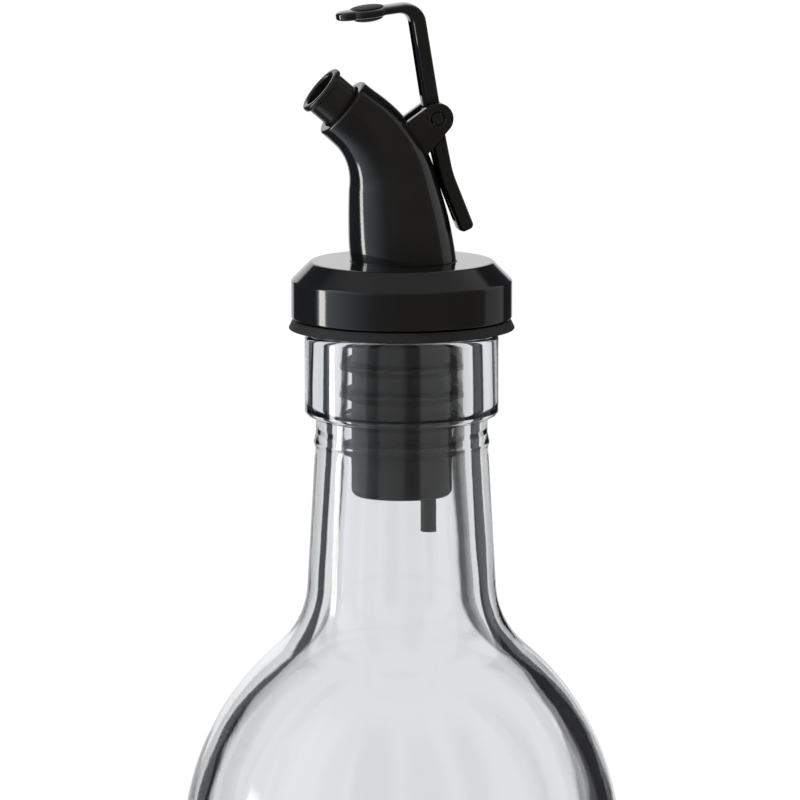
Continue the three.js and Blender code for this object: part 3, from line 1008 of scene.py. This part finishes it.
def lever_piece():
    corners = [(x + PIVOT_X, z + PIVOT_Z, r) for x, z, r in LEVER_CORNERS]
    obj = rounded_plate("lever_arm", rounded(corners, 14), crowned_section(LEVER_WIDTH, LEVER_EDGE))
    boolean(obj, arm_disc("tip", TIP_PLACE, LEVER_WIDTH / 2), "UNION")
    boolean(obj, arm_disc("pad", SEAL_PLACE, PAD_RADIUS), "UNION")
    inner = [LEVER_CORNERS[i][:2] for i in (4, 5, 6, 7)]
    boolean(obj, groove(inner[:2], 1.6, 4.6), "DIFFERENCE")
    boolean(obj, groove(inner[1:], 3.8, 2.2), "DIFFERENCE")
    for side in (-1, 1):
        middle = side * (HUB_WIDTH + LEVER_WIDTH) / 2
        half = LEVER_WIDTH / 2
        disc = cylinder("slot", SLOT_RADIUS, -half, half, MEDIUM, across(PIVOT_X, PIVOT_Z, middle))
        boolean(obj, disc, "DIFFERENCE")
        room = square_section(LEVER_WIDTH, 0.05, 1)
        boolean(obj, rounded_plate("room", ear_outline(EAR_MARGIN), room, middle), "DIFFERENCE")
    half = HUB_WIDTH / 2
    hub_corners = [(0, -half, 0), (HUB_RADIUS, -half, 0.2), (HUB_RADIUS, half, 0.2), (0, half, 0)]
    hub_profile = rounded(hub_corners, 4, closed=False)
    hub = revolve("hub", hub_profile, MEDIUM, across(PIVOT_X, PIVOT_Z), closed=False)
    boolean(obj, hub, "UNION")
    boolean(obj, cylinder("hole", PIN_HOLE, -9, 9, MEDIUM, across(PIVOT_X, PIVOT_Z)), "DIFFERENCE")
    boolean(obj, cylinder("seat", SEAL_SEAT, -4, 4, MEDIUM, on_arm(SEAL_PLACE)), "DIFFERENCE")
    return finish_edges(obj, 32)


def seal_piece():
    half = ARM_THICKNESS / 2 - 0.04
    stem = SEAL_SEAT - 0.05
    mouth = SEAL_RADIUS - 0.25
    profile = [(0, -half - SEAL_DOME_MOUTH)]
    quarter = steps_to(math.pi / 2, 12)
    profile += [(mouth * math.sin(a), -half - SEAL_DOME_MOUTH * math.cos(a)) for a in quarter]
    profile += [(stem, -half), (stem, half)]
    back = [(SEAL_RADIUS * math.sin(a), half + SEAL_DOME_TOP * math.cos(a)) for a in quarter]
    profile += list(reversed(back)) + [(0, half + SEAL_DOME_TOP)]
    return finish_edges(revolve("lid_seal_button", profile, MEDIUM, on_arm(SEAL_PLACE), closed=False), 50)


def steps_to(end, count):
    return [end * (i + 1) / count for i in range(count)]


def pin_piece():
    half = EAR_GAP / 2 + EAR_THICKNESS
    corners = [
        (0, -half + 0.12, 0),
        (PIN_RADIUS * 0.45, -half + 0.1, 0.3),
        (PIN_RADIUS * 0.6, -half, 0.1),
        (PIN_RADIUS, -half, 0.15),
        (PIN_RADIUS, half, 0.15),
        (PIN_RADIUS * 0.6, half, 0.1),
        (PIN_RADIUS * 0.45, half - 0.1, 0.3),
        (0, half - 0.12, 0),
    ]
    profile = rounded(corners, 4, closed=False)
    return revolve("hinge_pin_rod", profile, MEDIUM, across(PIVOT_X, PIVOT_Z), closed=False)


# ---- Put the object together ----

clear_glass = glass_material()
gloss_black = gloss_black_material("gloss_black", (0.0060, 0.0056, 0.0050), (0.0085, 0.0080, 0.0072), 0.085)
nozzle_black = gloss_black_material(
    "nozzle_plastic", (0.0085, 0.0080, 0.0070), (0.0120, 0.0112, 0.0098), 0.22
)
vent_black = gloss_black_material("vent_plastic", (0.014, 0.014, 0.0145), (0.022, 0.022, 0.0225), 0.38, 1.0)
pin_black = gloss_black_material("pin_plastic", (0.0060, 0.0056, 0.0050), (0.0085, 0.0080, 0.0072), 0.14)
stopper_rubber = rubber_material("stopper_rubber", (0.012, 0.0115, 0.0105), (0.020, 0.0190, 0.0175))
seal_rubber = rubber_material("seal_rubber", (0.018, 0.0170, 0.0155), (0.028, 0.0265, 0.0245))

pieces = [
    (bottle_piece(), "bottle", "bottle", "clear_glass", clear_glass),
    (stopper_piece(), "stopper", "pourer", "stopper_rubber", stopper_rubber),
    (cap_piece(), "cap", "pourer", "gloss_black", gloss_black),
    (spout_piece(), "spout_body", "pourer", "gloss_black", gloss_black),
    (nozzle_piece(), "pour_nozzle", "pourer", "nozzle_plastic", nozzle_black),
    (vent_piece(), "vent_tube", "pourer", "vent_plastic", vent_black),
    (pin_piece(), "hinge_pin", "pourer", "pin_plastic", pin_black),
    (lever_piece(), "lever", "lever", "gloss_black", gloss_black),
    (seal_piece(), "lid_seal", "lever", "seal_rubber", seal_rubber),
]
for piece, node, body, slot, material in pieces:
    piece.data.materials.clear()
    piece.data.materials.append(material)
    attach(piece, body)
    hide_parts(node)


# ---- Camera ----

CAMERA_AZIMUTH = math.radians(-12)
CAMERA_ELEVATION = math.radians(8.4)
CAMERA_DISTANCE = 1.4
FRAME_WIDTH = 0.13115  # metres across the picture at the axis of the bottle
FRAME_MIDDLE = (BOTTLE_HEIGHT - 11.35) * MM

forward = Vector((-math.sin(CAMERA_AZIMUTH), math.cos(CAMERA_AZIMUTH), 0))
right = Vector((forward.y, -forward.x, 0))


def add_camera():
    data = bpy.data.cameras.new("camera")
    data.sensor_width = 36
    data.lens = data.sensor_width * CAMERA_DISTANCE / FRAME_WIDTH
    data.clip_end = 100
    camera = bpy.data.objects.new("camera", data)
    bpy.context.scene.collection.objects.link(camera)
    target = Vector((0, 0, FRAME_MIDDLE)) - right * 0.00028
    back = -forward * math.cos(CAMERA_ELEVATION) + Vector((0, 0, math.sin(CAMERA_ELEVATION)))
    camera.location = target + back * CAMERA_DISTANCE
    camera.rotation_euler = (-back).to_track_quat("-Z", "Y").to_euler()
    bpy.context.scene.camera = camera


# ---- Floor and light ----


FLOOR_REACH = 9000  # from the middle to each edge of the floor


def add_floor():
    far = FLOOR_REACH
    corners = [(-far, -far, 0), (far, -far, 0), (far, far, 0), (-far, far, 0)]
    floor = add_object("floor", corners, [(0, 1, 2, 3)])
    floor.data.materials.append(floor_material())
    floor.visible_glossy = False
    floor.visible_transmission = False


# Studio surroundings at eye level, as reflected by the object: degrees round it (0 is straight behind it
# as the camera sees it, positive to the left) and the light there. Values between two are blended.
REFLECTED = [
    (-180, (0.22, 0.215, 0.205)),
    (-84, (0.20, 0.195, 0.185)),
    (-81, (0.60, 0.59, 0.62)),
    (-50, (0.52, 0.52, 0.55)),
    (-45, (0.05, 0.05, 0.06)),
    (-18, (0.05, 0.05, 0.06)),
    (-14, (1.15, 1.15, 1.15)),
    (24, (1.20, 1.20, 1.20)),
    (27, (0.04, 0.04, 0.05)),
    (48, (0.06, 0.07, 0.09)),
    (79.5, (0.10, 0.12, 0.16)),
    (82, (1.45, 1.58, 1.76)),
    (99, (1.45, 1.58, 1.76)),
    (115, (1.05, 1.14, 1.27)),
    (135, (0.55, 0.60, 0.66)),
    (152, (0.26, 0.27, 0.29)),
    (180, (0.22, 0.215, 0.205)),
]
# A narrow tall lamp at the left: degrees round the object, degrees up, and its light.
STRIP_TURN = (84.0, 93.0)
STRIP_HEIGHT = (-25.0, 12.0)
STRIP_LIGHT = (12.5, 12.4, 11.9, 1)
# The same directions as seen through the glass: white behind each likely viewpoint, dark cards between.
SEEN_THROUGH = [
    (-180, 0.55),
    (-170, 0.05),
    (-152, 0.05),
    (-148, 0.80),
    (-100, 0.80),
    (-97, 0.04),
    (-84, 0.04),
    (-80, 0.62),
    (-48, 0.80),
    (-45, 0.02),
    (-17, 0.02),
    (-14, 0.80),
    (24, 0.80),
    (27, 0.02),
    (43, 0.02),
    (46, 0.80),
    (72, 0.80),
    (75, 0.03),
    (84, 0.03),
    (87, 0.84),
    (120, 0.80),
    (124, 0.04),
    (140, 0.04),
    (144, 0.60),
    (180, 0.55),
]


def add_world():
    world = bpy.data.worlds.new("studio")
    bpy.context.scene.world = world
    world.use_nodes = True
    n = Nodes(world.node_tree)
    direction = n.add("ShaderNodeTexCoord").outputs["Generated"]
    left = -right

    def along(axis):
        dot = n.add("ShaderNodeVectorMath", {0: direction, 1: axis}, operation="DOT_PRODUCT")
        return dot.outputs["Value"]

    turn = n.math("DEGREES", n.math("ARCTAN2", along(left), along(forward)))
    height = n.math("DEGREES", n.math("ARCSINE", along(Vector((0, 0, 1)))))

    def round_the_object(rows):
        ramp = n.add("ShaderNodeValToRGB", {0: n.spread(turn, -180, 180, 0.0, 1.0)})
        stops = ramp.color_ramp.elements
        while len(stops) < len(rows):
            stops.new(0.5)
        peak = max(max(light) for _, light in rows)
        for stop, (angle, light) in zip(stops, rows):
            stop.position = (angle + 180) / 360
            stop.color = (*(value / peak for value in light), 1)
        return n.add("ShaderNodeVectorMath", {0: ramp.outputs[0], 3: peak}, operation="SCALE").outputs[0]

    def between(low, high, soft, angle=height):
        low_share = n.spread(angle, low - soft, low + soft, 0.0, 1.0)
        high_share = n.spread(angle, high - soft, high + soft, 1.0, 0.0)
        return n.math("MULTIPLY", low_share, high_share)

    ceiling = (0.40, 0.40, 0.41, 1)
    reflected = n.blend(between(-75, 48, 9), ceiling, round_the_object(REFLECTED))
    reflected = n.blend(n.spread(height, -6, 6, 0.0, 1.0), n.dim(reflected, 0.72), reflected)
    strip = n.math("MULTIPLY", between(*STRIP_TURN, 0.6, turn), between(*STRIP_HEIGHT, 4))
    reflected = n.blend(strip, reflected, STRIP_LIGHT)
    seen = round_the_object([(angle, (level, level * 1.005, level * 1.015)) for angle, level in SEEN_THROUGH])
    seen = n.blend(between(-52, 60, 8), (0.60, 0.60, 0.61, 1), seen)
    path = n.add("ShaderNodeLightPath")
    light = n.blend(path.outputs["Is Diffuse Ray"], reflected, (0.62, 0.62, 0.62, 1))
    light = n.blend(path.outputs["Is Transmission Ray"], light, seen)
    light = n.blend(path.outputs["Is Camera Ray"], light, (1.02, 1.02, 1.02, 1))
    background = n.add("ShaderNodeBackground", {"Color": light, "Strength": 1.0})
    n.add("ShaderNodeOutputWorld", {"Surface": background.outputs[0]})


def add_lamp():
    """One large soft light overhead, for the floor and the matte pieces."""
    data = bpy.data.lights.new("overhead", "AREA")
    data.shape = "DISK"
    data.size = 1.1
    data.energy = 9.0
    lamp = bpy.data.objects.new("overhead", data)
    lamp.location = forward * 0.3 - right * 0.55 + Vector((0, 0, 1.35))
    aim = Vector((0, 0, 0.15)) - lamp.location
    lamp.rotation_euler = aim.to_track_quat("-Z", "Y").to_euler()
    lamp.visible_glossy = False
    lamp.visible_transmission = False
    lamp.visible_camera = False
    bpy.context.scene.collection.objects.link(lamp)


add_camera()
add_floor()
add_world()
add_lamp()
bpy.context.scene.view_settings.view_transform = "Standard"
